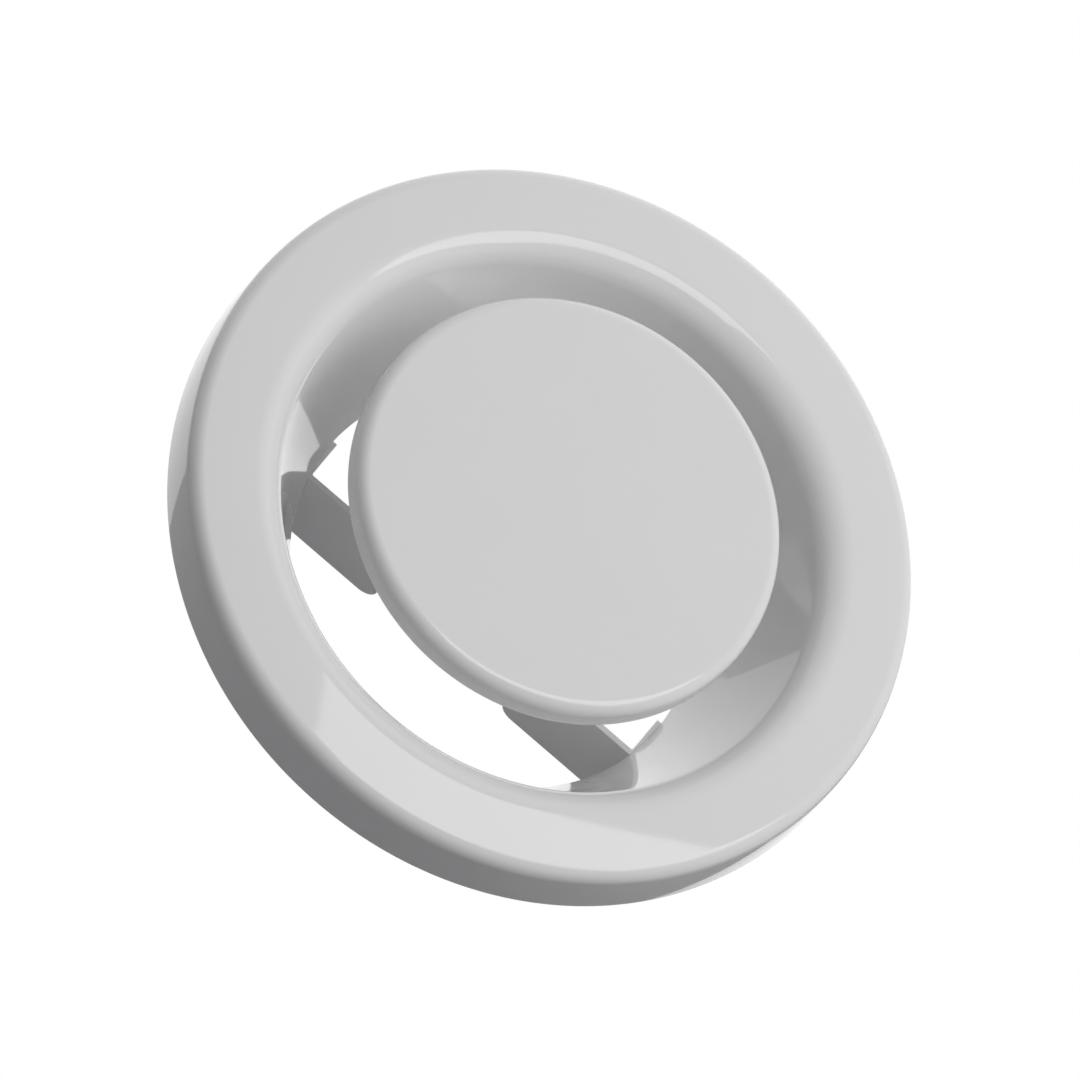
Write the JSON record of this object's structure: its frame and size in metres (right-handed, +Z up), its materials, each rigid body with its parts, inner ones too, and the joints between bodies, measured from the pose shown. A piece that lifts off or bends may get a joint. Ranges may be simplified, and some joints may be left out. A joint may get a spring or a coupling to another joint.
{
  "type": "disc valve",
  "caption": "Round ventilation valve: a pressed white ring with a funnel throat, and a dished disc that screws in and out on a spindle held by a bridge to set the air flow.",
  "frame": {"origin": "on the valve's axis, in the plane of the wall that the ring's skirt meets", "axes": "+Y into the duct along the valve's axis, room at -Y, +Z up, +X along the bridge"},
  "size_m": [0.2, 0.0893, 0.2],
  "materials": {
    "white_paint": "glossy white powder coat",
    "zinc_steel": "bright zinc plate",
    "foam": "closed-cell foam"
  },
  "bodies": {
    "frame": {"valve_ring": "white_paint", "wall_gasket": "foam", "bridge": "white_paint", "spindle": "zinc_steel", "bridge_nut_front": "zinc_steel", "bridge_nut_rear": "zinc_steel", "bridge_washer": "zinc_steel"},
    "lock": {"lock_nut": "zinc_steel", "spring_washer": "zinc_steel"},
    "disc": {"valve_disc": "white_paint", "disc_hub": "zinc_steel"}
  },
  "joints": [
    {"name": "disc_travel", "type": "slide", "parent": "frame", "child": "lock", "axis": [0, -1, 0], "range_m": [-0.0241, 0.0061]},
    {"name": "disc_turn", "type": "hinge", "parent": "lock", "child": "disc", "pos_m": [0, 0, 0], "axis": [0, -1, 0], "range_deg": [-6912, 1728]}
  ],
  "couplings": [
    {"joint": "disc_travel", "follows": "disc_turn", "m_per_rad": 0.00019894}
  ]
}
